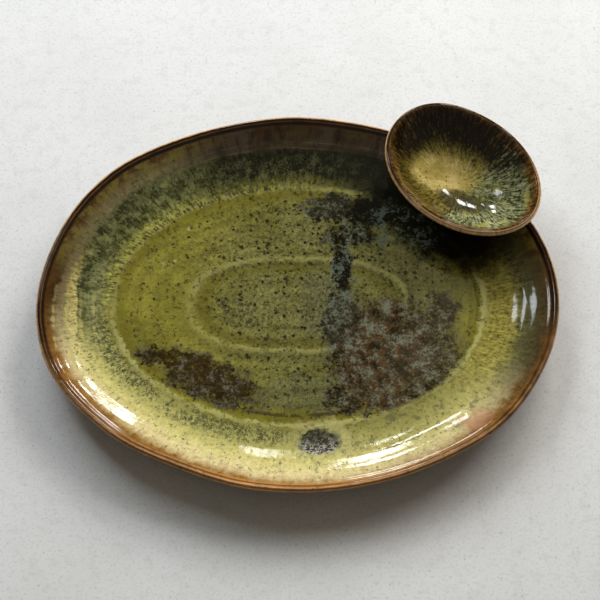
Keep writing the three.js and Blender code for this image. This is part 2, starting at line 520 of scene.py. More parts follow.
def make_seat(name, side):
    """A lump of clay under the bowl, shut at both ends inside the bowl and the platter's wall."""
    piece = start_ring(name, side[0], BOWL_STRETCH, BOWL_CORE_RADIUS, SEAT_CORNERS)
    bpy.ops.mesh.edge_face_add()
    draw_rings(side, BOWL_STRETCH, BOWL_CORE_RADIUS)
    close_ring()
    finish_mesh(piece, 1)
    place_on_rim(piece)
    return piece


def bowl_bed():
    """The seat's top, dished to lie inside the thickness of the bowl."""
    rows = [SEAT_RADIUS * share for share in (1.0, 0.6, 0.2)]
    return [(radius, bowl_middle_height(radius)) for radius in rows]


def make_inner_seat():
    top = float(bowl_middle_height(SEAT_RADIUS))
    side = [
        (SEAT_RADIUS + SEAT_FLARE * (1 - share) ** 2, mix(FLOOR_HEIGHT - 2, top, share))
        for share in spread(0, 0.94, 8)
    ]
    return make_seat("seat_in_well", side + bowl_bed())


def make_outer_seat():
    top = float(bowl_middle_height(SEAT_RADIUS))
    side = [
        (SEAT_RADIUS * math.sin(turn), mix(top, CHIN_HEIGHT, math.cos(turn)))
        for turn in spread(0.15, math.pi / 2 - 0.1, 8)
    ]
    return make_seat("seat_outside_rim", side + bowl_bed())


# Materials

class Shade:
    """A value, vector or colour in a material's nodes. A sum of values adds its Math nodes."""

    def __init__(self, tree, socket):
        self.tree = tree
        self.socket = socket

    def node(self, kind, settings, inputs, output=0):
        """Any node: its settings are set first, then the values or links of its sockets."""
        made = self.tree.nodes.new(kind)
        for name, setting in settings.items():
            if name == "stops":
                ramp = made.color_ramp.elements
                while len(ramp) < len(setting):
                    ramp.new(1.0)
                for element, (place, colour) in zip(ramp, setting):
                    element.position = place
                    element.color = (*colour, 1.0)
            else:
                setattr(made, name, setting)
        for name, value in inputs.items():
            if isinstance(value, Shade):
                self.tree.links.new(value.socket, made.inputs[name])
            else:
                made.inputs[name].default_value = value
        return Shade(self.tree, made.outputs[output])

    def math(self, operation, first, second):
        return self.node("ShaderNodeMath", {"operation": operation}, {0: first, 1: second})

    def __add__(self, other):
        return self.math("ADD", self, other)

    def __radd__(self, other):
        return self.math("ADD", other, self)

    def __sub__(self, other):
        return self.math("SUBTRACT", self, other)

    def __rsub__(self, other):
        return self.math("SUBTRACT", other, self)

    def __mul__(self, other):
        return self.math("MULTIPLY", self, other)

    def __rmul__(self, other):
        return self.math("MULTIPLY", other, self)

    def __truediv__(self, other):
        return self.math("DIVIDE", self, other)

    def __abs__(self):
        return self.math("ABSOLUTE", self, 0.0)


def colour_of(value):
    return value if isinstance(value, Shade) else (*value, 1.0)


def ease(value, low, high):
    """0 at low and 1 at high, with soft ends."""
    inputs = {"Value": value, "From Min": low, "From Max": high}
    return value.node("ShaderNodeMapRange", {"interpolation_type": "SMOOTHSTEP"}, inputs)


def lay(mask, under, over):
    """One colour laid over another where the mask is 1."""
    inputs = {0: mask, 6: colour_of(under), 7: colour_of(over)}
    return mask.node("ShaderNodeMix", {"data_type": "RGBA"}, inputs, 2)


def both(first, second):
    return first.math("MAXIMUM", first, second)


def toned(colour, tone):
    """A colour made lighter or darker by a number."""
    return tone.node("ShaderNodeVectorMath", {"operation": "SCALE"}, {0: colour, 3: tone})


def ramp(value, length, stops):
    """Colours along a length, each at its own place on it."""
    places = [(place / length, colour) for place, colour in stops]
    return value.node("ShaderNodeValToRGB", {"stops": places}, {"Fac": value / length})


def blotch(place, size, detail=3.0, roughness=0.5):
    """Noise about 0.5, with forms of a size in millimetres."""
    inputs = {"Vector": place, "Scale": 1 / size, "Detail": detail, "Roughness": roughness}
    return place.node("ShaderNodeTexNoise", {}, inputs)


def specks(place, size, width):
    """Ragged dots of uneven width on the plan, at a spacing in millimetres; about half stay empty."""
    inputs = {"Vector": place, "Scale": 1 / size}
    plan = {"voronoi_dimensions": "2D"}
    gap = place.node("ShaderNodeTexVoronoi", plan, inputs, "Distance")
    tone = place.node("ShaderNodeTexVoronoi", plan, inputs, "Color")
    chance = parts_of(tone)[0]
    ragged = (blotch(place, size * 0.22, 2) - 0.5) * width * 2.0
    return ease(gap + ragged + chance * width * 2, width * 1.5, width * 0.8)


def moved(place, shift):
    return place.node("ShaderNodeVectorMath", {"operation": "ADD"}, {0: place, 1: shift})


def parts_of(vector):
    return [vector.node("ShaderNodeSeparateXYZ", {}, {0: vector}, axis) for axis in "XYZ"]


def joined(x, y, z):
    source = next(part for part in (x, y, z) if isinstance(part, Shade))
    return source.node("ShaderNodeCombineXYZ", {}, {0: x, 1: y, 2: z})


def start_material(name):
    material = bpy.data.materials.new(name)
    material.use_nodes = True
    shader = material.node_tree.nodes["Principled BSDF"]
    paint = Shade(material.node_tree, None)
    metres = paint.node("ShaderNodeTexCoord", {}, {}, "Object")
    at = metres.node("ShaderNodeVectorMath", {"operation": "SCALE"}, {0: metres, 3: 1 / MM})
    return material, shader, at


def wire(shader, colour, roughness, height):
    """Join the colour, the roughness and a height in millimetres to the shader."""
    tree = colour.tree
    bump = height.node("ShaderNodeBump", {}, {"Strength": 1.0, "Distance": MM, "Height": height})
    tree.links.new(colour.socket, shader.inputs["Base Color"])
    tree.links.new(roughness.socket, shader.inputs["Roughness"])
    tree.links.new(bump.socket, shader.inputs["Normal"])


def stored(at, name):
    """A value that the piece's mesh carries."""
    return at.node("ShaderNodeAttribute", {"attribute_name": name}, {}, "Fac")


class Patches:
    """Soft-edged oval patches on a plan that is warped a little, so that no edge is drawn clean."""

    def __init__(self, at, warp, ragged):
        x, y, _ = parts_of(at)
        slow = 11.0
        quick = 2.6
        far = (311.0, 97.0, 53.0)
        self.x = x + (blotch(at, slow, 3) - 0.5) * warp + (blotch(at, quick, 3) - 0.5) * ragged
        there = moved(at, far)
        self.y = y + (blotch(there, slow, 3) - 0.5) * warp + (blotch(there, quick, 3) - 0.5) * ragged
        self.dust = (blotch(at, 2.6, 4, 0.7) - 0.5) * 2.6

    def speckled(self, mask):
        """A mask whose edge breaks up into dust."""
        return ease(mask + self.dust, 0.05, 0.95)

    def oval(self, middle, sizes, turn=0.0, soft=0.6):
        """1 inside an oval with half sizes in millimetres, its long way turned by degrees."""
        cos = math.cos(math.radians(turn))
        sin = math.sin(math.radians(turn))
        x = self.x - middle[0]
        y = self.y - middle[1]
        u = (x * cos + y * sin) / sizes[0]
        v = (y * cos - x * sin) / sizes[1]
        return ease(u * u + v * v, 1 + soft, 1 - soft)


def platter_glaze():
    material, shader, at = start_material("olive_glaze")
    inset = stored(at, "inset")
    across = stored(at, "across")
    along = stored(at, "along")
    rings = stored(at, "rings")
    inner_gap = stored(at, "inner_gap")
    x, y, _ = parts_of(at)
    round_x = across * PLATTER_TURN
    round_y = along * PLATTER_TURN
    flow = joined(round_x, round_y, inset * 0.3)
    sway = blotch(at, 55, 2)
    cloud = blotch(at, 22, 4, 0.55)
    mottle = blotch(at, 7, 4, 0.6)
    grain = blotch(at, 2.4, 4, 0.7)
    sand = blotch(at, 1.1, 2, 0.6)
    runs = blotch(flow, 5.0, 4, 0.6)
    hairs = blotch(flow, 1.7, 4, 0.65)
    dashes = blotch(joined(round_x, round_y, inset * 0.5), 1.6, 3, 0.6)
    fluff = (blotch(at, 6.8, 5, 0.62) * 0.68 + grain * 0.20 + sand * 0.12 - 0.5) / 0.068
    patches = Patches(at, 20, 10)
    floor_grain = (grain * 0.45 + sand * 0.4 + mottle * 0.15 - 0.5) / 0.07
    crystals = fluff * 1.15 + floor_grain * 0.85

    # Which side of the rim: shares of front, back and right; the left is what remains
    right = ease(across, 0.45, 0.85)
    front = ease(along + right * 0.35, 0.05, -0.45)
    back = ease(along - ease(x, -10, -95) * 0.4, 0.35, 0.80)

    # Colours of the wall by depth below the lip, the edges of the bands pulled into runs
    depth = inset + (runs - 0.5) * 9 + (mottle - 0.5) * 7 + (sway - 0.5) * 8
    thin_amber = ease(across, -0.75, -0.25) * ease(across, 0.75, 0.5) * 4.5
    front_wall = ramp(depth + thin_amber, WALL_SPAN, [
        (5, (0.24, 0.100, 0.016)),
        (9, (0.30, 0.155, 0.036)),
        (12, (0.54, 0.390, 0.175)),
        (15, (0.72, 0.580, 0.280)),
        (19, (0.75, 0.640, 0.285)),
        (26, (0.67, 0.590, 0.205)),
        (34, (0.48, 0.440, 0.135)),
        (47, (0.34, 0.310, 0.085)),
    ])
    front_wall = toned(front_wall, 1 - ease(across, 0.1, 0.5) * 0.18)
    left_wall = ramp(depth, WALL_SPAN, [
        (5, (0.080, 0.033, 0.006)),
        (12, (0.052, 0.023, 0.006)),
        (14, (0.150, 0.105, 0.046)),
        (18, (0.205, 0.158, 0.072)),
        (20, (0.380, 0.308, 0.105)),
        (25, (0.480, 0.390, 0.128)),
        (26, (0.085, 0.085, 0.028)),
        (30, (0.110, 0.112, 0.042)),
        (37, (0.180, 0.178, 0.060)),
        (43, (0.300, 0.275, 0.065)),
    ])
    upper_wall = ramp(depth, WALL_SPAN, [
        (5, (0.130, 0.070, 0.018)),
        (8, (0.170, 0.125, 0.030)),
        (12, (0.190, 0.150, 0.062)),
        (17, (0.180, 0.150, 0.064)),
        (20, (0.090, 0.090, 0.024)),
        (32, (0.140, 0.140, 0.036)),
        (40, (0.270, 0.255, 0.054)),
    ])
    back_wall = ramp(depth, WALL_SPAN, [
        (5, (0.032, 0.016, 0.006)),
        (10, (0.050, 0.031, 0.013)),
        (18, (0.044, 0.031, 0.014)),
        (22, (0.013, 0.013, 0.004)),
        (34, (0.018, 0.018, 0.006)),
        (43, (0.115, 0.108, 0.022)),
    ])
    right_wall = ramp(depth, WALL_SPAN, [
        (5, (0.130, 0.060, 0.018)),
        (9, (0.070, 0.046, 0.016)),
        (16, (0.080, 0.070, 0.026)),
        (22, (0.120, 0.112, 0.036)),
        (28, (0.300, 0.260, 0.056)),
        (47, (0.310, 0.265, 0.050)),
    ])
    wall = lay(ease(along, 0.05, 0.45), left_wall, upper_wall)
    wall = lay(back, wall, back_wall)
    wall = lay(right * (1 - back * 0.6), wall, right_wall)
    wall = lay(front, wall, front_wall)

    # Hair-like mottling of the wall, weak in the cream band and strong above the floor
    hair = (hairs * 0.5 + grain * 0.5 - 0.5) / 0.08
    band = ease(depth, 17, 24)
    clump = ease(mottle * 0.5 + cloud * 0.5, 0.46, 0.56)
    strength = 0.22 + band * (1 - front) * (1 - right * 0.5) * 0.4
    wall = toned(wall, both(1 + hair * strength * (1 - front * 0.5), 0.12))
    tufts = (blotch(joined(round_x, round_y, inset * 0.6), 7.5, 3, 0.6) - 0.5) / 0.09
    scales = fluff * 0.45 + hair * 0.35 + tufts * 0.45
    leafy = ease(depth + ease(along, 0.05, 0.45) * 7, 25, 26.5) * ease(depth, 45, 36)
    leafy = leafy * (1 - front) * (1 - right) * (1 - back)
    leaves = lay(ease(scales, -0.7, 0.8), (0.028, 0.031, 0.009), (0.200, 0.205, 0.080))
    leaves = lay(ease(scales, 0.7, 1.6) * 0.7, leaves, (0.370, 0.360, 0.100))
    leaves = toned(leaves, 1 - ease(along, 0.1, 0.5) * 0.25)
    wall = lay(leafy * 0.75, wall, leaves)
    # Pale stripes on the finger rings' crests at the lower left: partly paler glaze, partly painted
    # light on the crests
    ring_crests = rings + (mottle - 0.5) * 2.4 + hair * 0.12
    stripes = ease(ring_crests, 0.55, 1.0) * ease(along, 0.15, -0.15) * ease(across, -0.3, -0.7)
    wall = lay(stripes * 0.6, wall, (0.54, 0.48, 0.160))
    # Painted highlights: thin pale lines along the back wall, about 15.5 and 19 mm below the lip
    hung = inset + (sway - 0.5) * 5 + (runs - 0.5) * 1.5
    painted_highlight_lines = both(ease(abs(hung - 19), 0.8, 0.2), ease(abs(hung - 15.5), 0.6, 0.1))
    painted_highlight_lines = painted_highlight_lines * ease(cloud, 0.42, 0.54) * ease(along, 0.3, 0.6)
    wall = lay(painted_highlight_lines * 0.4, wall, (0.150, 0.125, 0.068))
    lower_left = ease(along, 0.0, -0.3) * ease(across, 0.2, -0.2)
    clumps = both(clump * 0.85, lower_left * ease(inset, 28, 35))
    clumps = clumps * ease(inset, 14, 26) * (1 - right * 0.8)
    beside = lower_left * ease(abs(inset - 39), 9, 3) * ease(mottle * 0.6 + cloud * 0.4, 0.40, 0.52)
    rows = lower_left * ease(along, -0.75, -0.45) * ease(inset, 16, 22)
    thick = ease(dashes - clumps * 0.05 - rows * 0.04, 0.36, 0.32)
    pepper = ease(floor_grain + hair * 0.4, 0.9, -0.4) * beside
    flecks = both(thick * ease(inset, 8, 14), ease(hair, -1.3, -1.7) * ease(inset, 9, 14))
    flecks = flecks * (1 - right * 0.7)
    wall = lay(flecks * (0.4 + 0.4 * front), wall, (0.085, 0.094, 0.050))
    wall = lay(pepper * 0.8, wall, (0.062, 0.070, 0.036))
    smudges = ease(blotch(at, 8.0, 5, 0.65) + hair * 0.015, 0.54, 0.64)
    smudges = smudges * front * ease(across, -0.1, 0.3) * ease(inset, 13, 18)
    wall = lay(smudges * 0.7, wall, (0.120, 0.118, 0.062))
    lit = ease(hairs * 0.6 + sand * 0.4, 0.55, 0.64) * band
    lit = lit * ease(along, -0.4, 0.2) * (1 - back * 0.7)
    wall = lay(lit * 0.5, wall, (0.310, 0.315, 0.135))
    near_lip = ease(inset, 15, 8) * ease(along, 0.0, 0.4)
    daubs = mottle * 0.35 + runs * 0.35 + grain * 0.3 + fluff * 0.012
    gilt = ease(daubs, 0.56, 0.42) * ease(inset, 18, 9) * ease(along, 0.0, 0.4)
    wall = lay(gilt * (1 - back * 0.8) * 0.55, wall, (0.200, 0.170, 0.030))
    wall = lay(ease(daubs, 0.46, 0.58) * near_lip * 0.85, wall, (0.055, 0.018, 0.003))
    rosy = ease(cloud, 0.44, 0.58) * back * ease(inset, 22, 15)
    wall = lay(rosy * 0.5, wall, (0.085, 0.058, 0.042))
    drips = ease(runs, 0.50, 0.60) * back * ease(inset, 24, 12)
    wall = lay(drips * 0.6, wall, (0.010, 0.006, 0.003))
    moss = ease(crystals + tufts * 0.5, -0.6, 3.2) * back * ease(depth, 18, 30)
    wall = lay(moss * 0.8, wall, (0.120, 0.124, 0.052))
    # Painted shade and a painted reflection of the bowl: the lower back wall goes near black towards the
    # bowl
    painted_bowl_shade = ease(x, -10, 55) * back * ease(depth, 14, 22)
    wall = lay(painted_bowl_shade * 0.8, wall, (0.012, 0.013, 0.007))

    # Lip: an orange edge outside, partly orange glaze and partly a painted highlight, dark lines on the
    # crest with thin painted highlight lines between them, amber behind; the front is paler, partly by
    # painted highlights
    lip_depth = inset + (sway - 0.5) * 1.2 + (runs - 0.5) * 1.0 - ease(along, 0.2, 0.9) * 0.5
    # Left and back lip: the bright orange tip is partly a painted highlight, and the pale line at 3.3 mm
    # is a painted highlight
    dark_lip_painted_glints = ramp(lip_depth, LIP_SPAN, [
        (0, (0.620, 0.340, 0.135)),
        (1.1, (0.540, 0.280, 0.095)),
        (1.7, (0.020, 0.009, 0.004)),
        (2.8, (0.014, 0.007, 0.003)),
        (3.3, (0.140, 0.074, 0.032)),
        (3.9, (0.034, 0.013, 0.003)),
        (5.2, (0.016, 0.007, 0.003)),
        (7.0, (0.070, 0.034, 0.010)),
    ])
    # Front lip: the pale line at 2.1 mm is a painted highlight along the crest
    pale_lip_painted_highlights = ramp(lip_depth, LIP_SPAN, [
        (0, (0.380, 0.185, 0.055)),
        (1.3, (0.180, 0.068, 0.012)),
        (2.1, (0.520, 0.320, 0.140)),
        (2.7, (0.290, 0.130, 0.035)),
        (3.6, (0.085, 0.028, 0.005)),
        (4.6, (0.280, 0.130, 0.032)),
        (8.0, (0.350, 0.185, 0.052)),
    ])
    lip = lay(ease(along - across * 0.12, -0.05, -0.75), dark_lip_painted_glints, pale_lip_painted_highlights)
    # Painted highlight: the front middle of the lip is made brighter, and the right of the lip a little
    # darker
    lip_painted_highlight = ease(abs(across), 0.6, 0.2) * front * 0.7 - ease(across, 0.6, 0.95) * 0.3
    lip = toned(lip, both(1 + tufts * 0.16 + lip_painted_highlight, 0.2))
    colour = lay(ease(lip_depth, 6.6, 4.8), wall, lip)

    # Olive floor: yellow and brushed at the left, greyer and grainy in the middle
    middle = patches.oval((17, 10), (76, 74), 0, 0.75)
    floor = lay(middle, (0.258, 0.232, 0.034), (0.178, 0.166, 0.052))
    floor = lay(ease(cloud, 0.42, 0.62) * 0.45, floor, (0.120, 0.106, 0.014))
    mist = both(patches.oval((2, -62), (26, 12), 0, 0.6), patches.oval((16, 0), (14, 30), 0, 0.6))
    floor = lay(mist * 0.55, floor, (0.126, 0.130, 0.064))
    floor = toned(floor, both(1 + floor_grain * (0.14 + middle * 0.22), 0.15))
    floor = toned(floor, 1 + inner_gap.math("SINE", inner_gap * 0.58 + sway * 4, 0.0) * 0.10)
    floor = toned(floor, 1 - ease(y, 35, 75) * 0.18)
    brushed = ease(hairs, 0.54, 0.66) * ease(across, -0.1, -0.6)
    floor = lay(brushed * 0.4, floor, (0.36, 0.33, 0.095))
    on_floor = ease(depth, 43, 48)
    colour = lay(on_floor, colour, floor)
    dots = both(specks(at, 4.6, 0.22), specks(moved(at, (37, 91, 0)), 5.6, 0.22))
    dots = dots * ease(middle, 0.1, 0.7) * ease(mottle, 0.36, 0.48)
    dots = both(dots, specks(moved(at, (71, 23, 0)), 10.5, 0.075))
    colour = lay(dots * 0.95 * on_floor, colour, (0.012, 0.010, 0.004))
    cluster = patches.oval((-40, -5), (14, 9), -20, 0.7) * ease(grain, 0.52, 0.42)
    colour = lay(cluster * 0.8, colour, (0.050, 0.045, 0.034))
    sparkle = specks(at, 8.0, 0.15) * patches.oval((-72, 42), (22, 16), 35, 0.6)
    colour = lay(sparkle * 0.8, colour, (0.42, 0.40, 0.21))

    # Throwing ridges: thin yellow glaze on the crest, deeper glaze beside it, dots along the outer one
    outer_gap = OUTER_RIDGE_INSET - inset
    pale_side = both(front, right)
    broken = both(0.25 + 0.75 * ease(mottle * 0.6 + cloud * 0.4, 0.42, 0.54), right)
    plain_crest = (0.330, 0.310, 0.098)
    for gap, pale in ((inner_gap, plain_crest), (outer_gap, (0.560, 0.530, 0.190))):
        colour = lay(ease(abs(gap + 6), 5.0, 1.0) * 0.45, colour, (0.135, 0.112, 0.010))
        crest = ease(abs(gap + (grain - 0.5) * 5 + (mottle - 0.5) * 8), 2.8, 0.4)
        colour = lay(crest * broken * 0.65, colour, lay(pale_side, plain_crest, pale))
    row = ease(abs(outer_gap - 0.5), 2.0, 1.0) * ease(hairs, 0.50, 0.45) * ease(across, 0.3, -0.2)
    row = row * ease(along, -0.1, 0.2)
    colour = lay(row * 0.85, colour, (0.040, 0.036, 0.018))
    pooled = ease(abs(outer_gap + 7.5), 1.8, 0.6)
    pooled = pooled * ease(along, -0.75, -0.9) * ease(mottle, 0.40, 0.50)
    colour = lay(pooled * 0.75, colour, (0.045, 0.035, 0.018))

    # Crystal patches: dark ground under fluffy grey crystals, rust where they part
    right_patch = both(patches.oval((60, -38), (41, 40)), patches.oval((28, -16), (12, 24)))
    right_patch = both(right_patch, patches.oval((92, -6), (10, 14)))
    right_patch = both(right_patch, patches.oval((30, -68), (14, 9)))
    top_patch = both(patches.oval((28, 69), (24, 11)), patches.oval((34, 48), (16, 9)))
    top_patch = both(top_patch, patches.oval((29, 27), (7, 21), 0, 0.7))
    left_patch = patches.oval((-56, -52), (36, 13), -25, 0.8)
    left_patch = both(left_patch, patches.oval((-88, -37), (14, 7), -10, 0.9))
    grey = ease(crystals, -0.2, 2.2)
    in_well = ease(inset, 44, 48)
    frost = ease(both(both(right_patch, top_patch) * in_well, left_patch), 0.0, 0.4)
    colour = lay(frost * ease(crystals, -1.0, 1.5) * 0.55, colour, (0.115, 0.104, 0.066))
    right_patch = patches.speckled(right_patch)
    top_patch = patches.speckled(top_patch)
    left_patch = patches.speckled(left_patch)
    brown = ramp(crystals + 2, CRYSTAL_SPAN, [
        (0.2, (0.008, 0.004, 0.002)),
        (0.9, (0.017, 0.009, 0.004)),
        (2.0, (0.050, 0.036, 0.017)),
        (3.1, (0.094, 0.086, 0.053)),
        (4.2, (0.180, 0.184, 0.132)),
    ])
    rust = patches.oval((52, -34), (26, 38), 0, 0.7)
    rust = rust * ease(mottle, 0.43, 0.53) * ease(crystals, 0.9, -0.6)
    brown = lay(rust * 0.9, brown, (0.084, 0.026, 0.004))
    verdigris = patches.oval((24, -10), (14, 24), 0, 0.7) * (0.1 + grey * 0.8)
    brown = lay(verdigris, brown, (0.122, 0.156, 0.112))
    colour = lay(right_patch * in_well * 0.95, colour, brown)
    black = ramp(crystals + 2, CRYSTAL_SPAN, [
        (0.6, (0.002, 0.001, 0.001)),
        (2.0, (0.011, 0.010, 0.005)),
        (3.1, (0.065, 0.065, 0.042)),
        (4.2, (0.165, 0.170, 0.124)),
    ])
    colour = lay(top_patch * in_well * 0.95, colour, black)
    heart = patches.oval((-58, -49), (32, 9), -25, 0.6)
    purple = ramp(crystals + 1.6, CRYSTAL_SPAN, [
        (0.4, (0.008, 0.004, 0.002)),
        (1.1, (0.018, 0.009, 0.004)),
        (2.0, (0.044, 0.031, 0.017)),
        (3.1, (0.084, 0.069, 0.046)),
        (4.4, (0.150, 0.132, 0.102)),
    ])
    purple = lay(heart * ease(crystals, 2.4, 0.2) * 0.85, purple, (0.026, 0.009, 0.003))
    colour = lay(left_patch * 0.92, colour, purple)
    halo = patches.oval((14, -94), (19, 13))
    colour = lay(halo * 0.5, colour, (0.560, 0.510, 0.210))
    spot = Patches(at, 6, 5).oval((13, -95), (13.5, 9), 0, 0.3)
    low_half = ease(y + fluff * 1.5, -90, -101)
    pearl = lay(ease(floor_grain, 0.8, -0.6), (0.076, 0.088, 0.058), (0.018, 0.012, 0.010))
    pearl = lay(low_half * ease(floor_grain, -0.4, 0.8) * 0.9, pearl, (0.500, 0.470, 0.390))
    colour = lay(spot * 0.95, colour, pearl)
    ash = patches.oval((22, 71), (20, 8), 0, 0.7) * (0.15 + grey * 0.7)
    colour = lay(ash, colour, (0.095, 0.092, 0.058))
    core = both(patches.oval((29, 25), (4.2, 10)), patches.oval((45, 66), (13, 12)))
    colour = lay(patches.speckled(core) * 0.92, colour, (0.006, 0.005, 0.002))
    # Near black under the bowl: partly dark glaze, partly painted shade and a painted reflection of the
    # bowl's dark underside
    dark_glaze_and_shade_under_bowl = both(patches.oval((94, 57), (48, 27), -35), patches.oval((64, 70), (24, 16), -10))
    colour = lay(dark_glaze_and_shade_under_bowl * 0.96, colour, (0.006, 0.006, 0.004))
    chilled = both(patches.oval((66, 52), (26, 18), -20, 0.7), patches.oval((31, 14), (11, 25), 0, 0.7))
    shards = ease(crystals, 0.3, 2.0) * chilled
    colour = lay(shards * 0.7, colour, (0.128, 0.156, 0.114))
    blush = patches.oval((108, -84), (9.5, 6), 35, 0.9)
    colour = lay(blush * 0.7, colour, (0.46, 0.21, 0.12))
    crystal = both(both(right_patch, left_patch), both(top_patch, spot))

    # Outside of the wall: amber glaze that runs thin towards the bare foot
    outside = ramp(0 - depth, WALL_SPAN, [
        (0, (0.30, 0.140, 0.038)),
        (6, (0.06, 0.03, 0.010)),
        (20, (0.10, 0.06, 0.020)),
        (40, (0.16, 0.10, 0.030)),
    ])
    outside = toned(outside, both(1 + hair * 0.4, 0.2))
    under = ease(inset, 0.4, -0.4)
    colour = lay(under, colour, outside)
    bare_base = ease(depth, -44, -47)
    clay, clay_height = clay_of(at)
    colour = lay(bare_base, colour, clay)

    roughness = 0.04 + crystal * 0.05 + grain * 0.03 + bare_base * 0.6
    height = (blotch(at, 11, 2) - 0.5) * 0.11 + (grain - 0.5) * 0.014 + (hairs - 0.5) * 0.015
    height = height + bare_base * clay_height
    wire(shader, colour, roughness, height)
    return material


def bowl_glaze():
    material, shader, at = start_material("dip_bowl_glaze")
    inset = stored(at, "inset")
    across = stored(at, "across")
    along = stored(at, "along")
    flow = joined(across * BOWL_TURN, along * BOWL_TURN, inset * 0.3)
    sway = blotch(at, 30, 2)
    cloud = blotch(at, 12, 3)
    grain = blotch(at, 2.0, 4, 0.7)
    runs = blotch(flow, 3.4, 4, 0.6)
    hairs = blotch(flow, 1.4, 4, 0.6)
    depth = inset + (runs - 0.5) * 11 + (sway - 0.5) * 5
    x, y, _ = parts_of(at)
    x = x - BOWL_PLACE[0]
    y = y - BOWL_PLACE[1]
    near = ease(y - x * 0.3, 5, -25)

    # Dark lip with an orange edge, partly orange glaze and partly a painted highlight, paler at the near
    # side with a near-white painted highlight line on the crest, a narrow amber band, then olive brown
    # Far lip: the bright tip is partly a painted highlight, and the pale line at 3.0 mm is a painted
    # highlight
    dark_lip_painted_glints = ramp(inset, BOWL_LIP_SPAN, [
        (0, (0.700, 0.440, 0.220)),
        (0.8, (0.480, 0.260, 0.095)),
        (1.3, (0.030, 0.014, 0.006)),
        (2.4, (0.022, 0.012, 0.005)),
        (3.0, (0.140, 0.085, 0.035)),
        (3.8, (0.022, 0.012, 0.005)),
    ])
    # Near lip: the near-white line at 0.6 mm and the pale line at 1.8 mm are painted highlights
    pale_lip_painted_highlights = ramp(inset, BOWL_LIP_SPAN, [
        (0, (0.600, 0.360, 0.150)),
        (0.6, (0.800, 0.580, 0.360)),
        (1.1, (0.200, 0.074, 0.016)),
        (1.8, (0.520, 0.330, 0.130)),
        (2.4, (0.060, 0.024, 0.007)),
    ])
    olive = ramp(depth, BOWL_SPAN, [
        (3, (0.050, 0.026, 0.009)),
        (5.5, (0.170, 0.082, 0.018)),
        (8, (0.060, 0.040, 0.007)),
        (17, (0.105, 0.076, 0.014)),
        (25, (0.190, 0.155, 0.034)),
        (33, (0.300, 0.240, 0.060)),
    ])
    hair = (hairs * 0.6 + grain * 0.4 - 0.5) / 0.085
    colour = toned(olive, both(1 + hair * 0.7, 0.15))
    # Green-black and sage hairs on the right and the front
    right = ease(x - y * 0.8, 2, 20)
    deep = lay(ease(hair, 0.1, -0.7), (0.185, 0.194, 0.080), (0.026, 0.028, 0.012))
    sage = lay(ease(hair, 0.1, 1.1), deep, (0.370, 0.380, 0.210))
    sage = lay(ease(cloud, 0.54, 0.62) * 0.6, sage, (0.400, 0.370, 0.075))
    colour = lay(ease(depth, 6, 9) * right * 0.95, colour, sage)
    # Near-black far wall: partly dark glaze, partly painted shade on the side that faces away from the
    # lamps
    far = ease(y + x * 0.15, 4, 14) * ease(depth, 24, 16) * ease(depth, 3, 6)
    colour = lay(far * ease(hair, 2.0, 0.0) * 0.94, colour, (0.010, 0.006, 0.002))
    # Tan pool left of the middle, with dark specks
    patches = Patches(at, 8, 8)
    pool = patches.oval((BOWL_PLACE[0] - 11.5, BOWL_PLACE[1] + 7), (19, 14.5), -15)
    tan = lay(ease(cloud, 0.42, 0.6), (0.400, 0.300, 0.076), (0.560, 0.430, 0.145))
    tan = toned(tan, both(1 + hair * 0.2, 0.3))
    colour = lay(pool * 0.9, colour, tan)
    smoke = patches.oval((BOWL_PLACE[0] + 2, BOWL_PLACE[1] - 14), (18, 8.5), -20, 0.6)
    colour = lay(smoke * 0.8, colour, (0.026, 0.022, 0.010))
    dots = specks(at, 4.2, 0.15) * ease(inset, 8, 14)
    colour = lay(dots * 0.8, colour, (0.040, 0.028, 0.008))
    lip = lay(near, dark_lip_painted_glints, pale_lip_painted_highlights)
    colour = lay(ease(inset, 3.2, 2.4), colour, toned(lip, both(1 + hair * 0.2, 0.3)))

    # Outside: a thin orange edge, then near black as painted shade under the lip, with amber runs
    outside = ramp(0 - inset, BOWL_SPAN, [
        (0, (0.36, 0.175, 0.050)),
        (0.8, (0.09, 0.038, 0.010)),
        (1.8, (0.018, 0.011, 0.005)),
        (30, (0.030, 0.020, 0.008)),
    ])
    outside = lay(ease(runs, 0.48, 0.62) * ease(inset, -2, -9) * 0.6, outside, (0.100, 0.058, 0.018))
    outside = toned(outside, both(1 + hair * 0.4, 0.2))
    colour = lay(ease(inset, 0.3, -0.3), colour, outside)

    roughness = 0.04 + grain * 0.03
    height = (blotch(at, 8, 2) - 0.5) * 0.14 + (grain - 0.5) * 0.012
    wire(shader, colour, roughness, height)
    return material


def seat_glaze():
    material, shader, at = start_material("dark_seat_glaze")
    cloud = blotch(at, 8, 4)
    grain = blotch(at, 1.8, 3)
    colour = lay(ease(cloud, 0.4, 0.6), (0.025, 0.018, 0.008), (0.07, 0.045, 0.016))
    colour = lay(specks(at, 3.0, 0.16) * 0.6, colour, (0.12, 0.11, 0.05))
    height = (cloud - 0.5) * 0.3 + (grain - 0.5) * 0.02
    wire(shader, colour, 0.06 + grain * 0.06, height)
    return material


def clay_of(at):
    """Colour and height of bare toasted stoneware."""
    cloud = blotch(at, 14, 4)
    grain = blotch(at, 0.9, 3, 0.65)
    colour = lay(ease(cloud, 0.35, 0.65), (0.40, 0.27, 0.165), (0.50, 0.37, 0.25))
    colour = lay(specks(at, 2.6, 0.15) * 0.7, colour, (0.13, 0.075, 0.04))
    height = (grain - 0.5) * 0.12 + (cloud - 0.5) * 0.1
    return colour, height


def bare_clay():
    material, shader, at = start_material("toasted_clay")
    colour, height = clay_of(at)
    wire(shader, colour, 0.7 + blotch(at, 3, 3) * 0.2, height)
    return material


